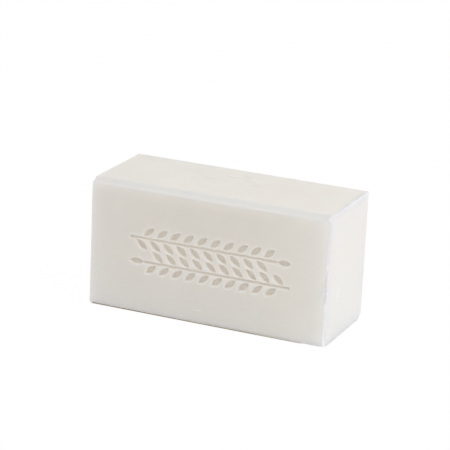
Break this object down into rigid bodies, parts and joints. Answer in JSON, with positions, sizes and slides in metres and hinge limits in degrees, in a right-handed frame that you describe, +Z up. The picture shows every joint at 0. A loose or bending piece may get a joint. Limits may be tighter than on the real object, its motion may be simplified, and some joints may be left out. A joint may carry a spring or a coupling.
{
  "type": "bar of soap",
  "caption": "Plain block of off-white soap, upright on its long side, with bevelled front edges and two shallow leaf sprigs pressed into the front.",
  "frame": {"origin": "middle of the footprint, on the surface that the bar stands on", "axes": "+X along the bar towards the cut end whose foot is worn round, -Y out of the stamped front face, +Z up"},
  "size_m": [0.08, 0.0324, 0.0418],
  "materials": {
    "soap": "smooth, slightly waxy and translucent, satin"
  },
  "bodies": {
    "root": {"soap_bar": "soap"}
  },
  "joints": []
}
